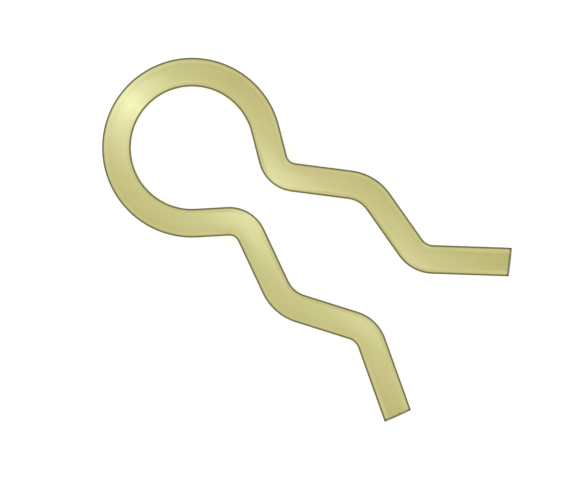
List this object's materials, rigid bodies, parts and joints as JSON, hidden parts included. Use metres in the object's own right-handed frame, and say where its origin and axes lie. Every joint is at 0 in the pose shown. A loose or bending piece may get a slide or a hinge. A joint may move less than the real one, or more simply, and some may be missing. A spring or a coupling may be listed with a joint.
{
  "type": "hitch r clip",
  "caption": "Round wire spring clip with a large loop and two matching waved legs that grip a round shaft or pin between them.",
  "frame": {"origin": "centre of the round shaft that the legs grip, in the middle plane of the wire", "axes": "+X along the clip from the loop to the open end of the legs, +Y across the clip from one leg to the other, +Z along the gripped shaft, square to the flat clip"},
  "size_m": [0.0585, 0.0298, 0.004],
  "materials": {
    "plated_spring_wire": "spring steel wire, smooth drawn surface with satin yellow zinc plating"
  },
  "bodies": {
    "root": {"r_clip": "plated_spring_wire"}
  },
  "joints": []
}
